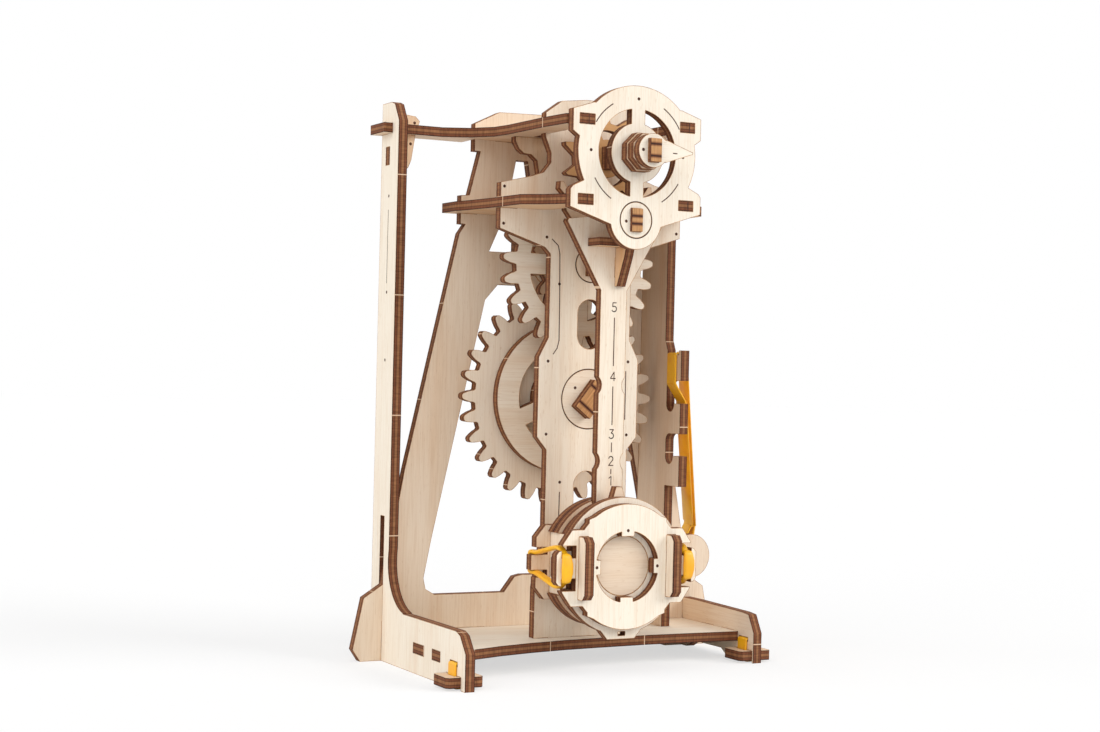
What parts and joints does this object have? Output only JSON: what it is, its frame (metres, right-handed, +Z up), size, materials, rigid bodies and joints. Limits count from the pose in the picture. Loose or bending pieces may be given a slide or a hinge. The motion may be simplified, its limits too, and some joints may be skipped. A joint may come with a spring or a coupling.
{
  "type": "wooden pendulum mechanism kit",
  "caption": "Self-standing plywood pendulum mechanism with a gear train, pointer dial, sliding bob and rubber band drive.",
  "frame": {"origin": "on the ground under the middle of the model's bounding box", "axes": "+Z up, -Y towards the dial and the bob, +X to the right as seen from the front"},
  "size_m": [0.129, 0.0806, 0.1757],
  "materials": {
    "birch_ply": "matt",
    "laser_cut_ply": "matt",
    "yellow_rubber": "satin"
  },
  "bodies": {
    "frame": {"dial_plate": "birch_ply", "gear_plate": "birch_ply", "back_frame": "birch_ply", "inner_plate": "birch_ply", "left_side_plate": "birch_ply", "right_foot_plate": "birch_ply", "base_plate": "birch_ply", "top_beam": "birch_ply", "middle_beam": "birch_ply", "hook_plate": "birch_ply", "post_bracket": "birch_ply", "left_pad": "birch_ply", "right_pad": "birch_ply", "foot_bands": "yellow_rubber", "band_roller": "laser_cut_ply", "drive_band": "yellow_rubber"},
    "main_train": {"main_axle": "laser_cut_ply", "main_discs": "birch_ply", "great_gear": "birch_ply", "ratchet_disc": "birch_ply", "drum": "laser_cut_ply", "winding_crank": "birch_ply", "crank_knob": "laser_cut_ply"},
    "second_train": {"second_axle": "laser_cut_ply", "second_discs": "birch_ply", "second_gear": "birch_ply", "second_pinion": "laser_cut_ply"},
    "hand_train": {"hand_axle": "laser_cut_ply", "hand_discs": "birch_ply", "hand_pinion": "laser_cut_ply", "escape_wheel": "laser_cut_ply", "hub_washers": "laser_cut_ply", "hand": "birch_ply"},
    "pendulum": {"pendulum_axle": "laser_cut_ply", "pendulum_discs": "birch_ply", "pendulum_rod": "birch_ply", "pendulum_rib": "laser_cut_ply", "pendulum_shelf": "laser_cut_ply", "anchor": "laser_cut_ply"},
    "bob": {"bob_front_plate": "birch_ply", "bob_cap": "birch_ply", "bob_front_disc": "birch_ply", "bob_core": "laser_cut_ply", "bob_spacers": "laser_cut_ply", "bob_rear_disc": "birch_ply", "bob_rear_plate": "birch_ply", "bob_clamps": "laser_cut_ply", "bob_bands": "yellow_rubber"}
  },
  "joints": [
    {"name": "main_spin", "type": "hinge", "parent": "frame", "child": "main_train", "pos_m": [0, 0.0257, 0.0822], "axis": [0, 1, 0], "continuous": true},
    {"name": "second_spin", "type": "hinge", "parent": "frame", "child": "second_train", "pos_m": [0, 0.0132, 0.1236], "axis": [0, 1, 0], "continuous": true},
    {"name": "hand_spin", "type": "hinge", "parent": "frame", "child": "hand_train", "pos_m": [0, -0.0078, 0.1557], "axis": [0, 1, 0], "continuous": true},
    {"name": "pendulum_swing", "type": "hinge", "parent": "frame", "child": "pendulum", "pos_m": [0, -0.0155, 0.1359], "axis": [0, 1, 0], "range_deg": [-4, 4]},
    {"name": "bob_slide", "type": "slide", "parent": "pendulum", "child": "bob", "axis": [0, 0, 1], "range_m": [0, 0.05]}
  ],
  "couplings": [
    {"joint": "second_spin", "follows": "main_spin", "ratio": -3.3333},
    {"joint": "hand_spin", "follows": "main_spin", "ratio": 10.952}
  ]
}
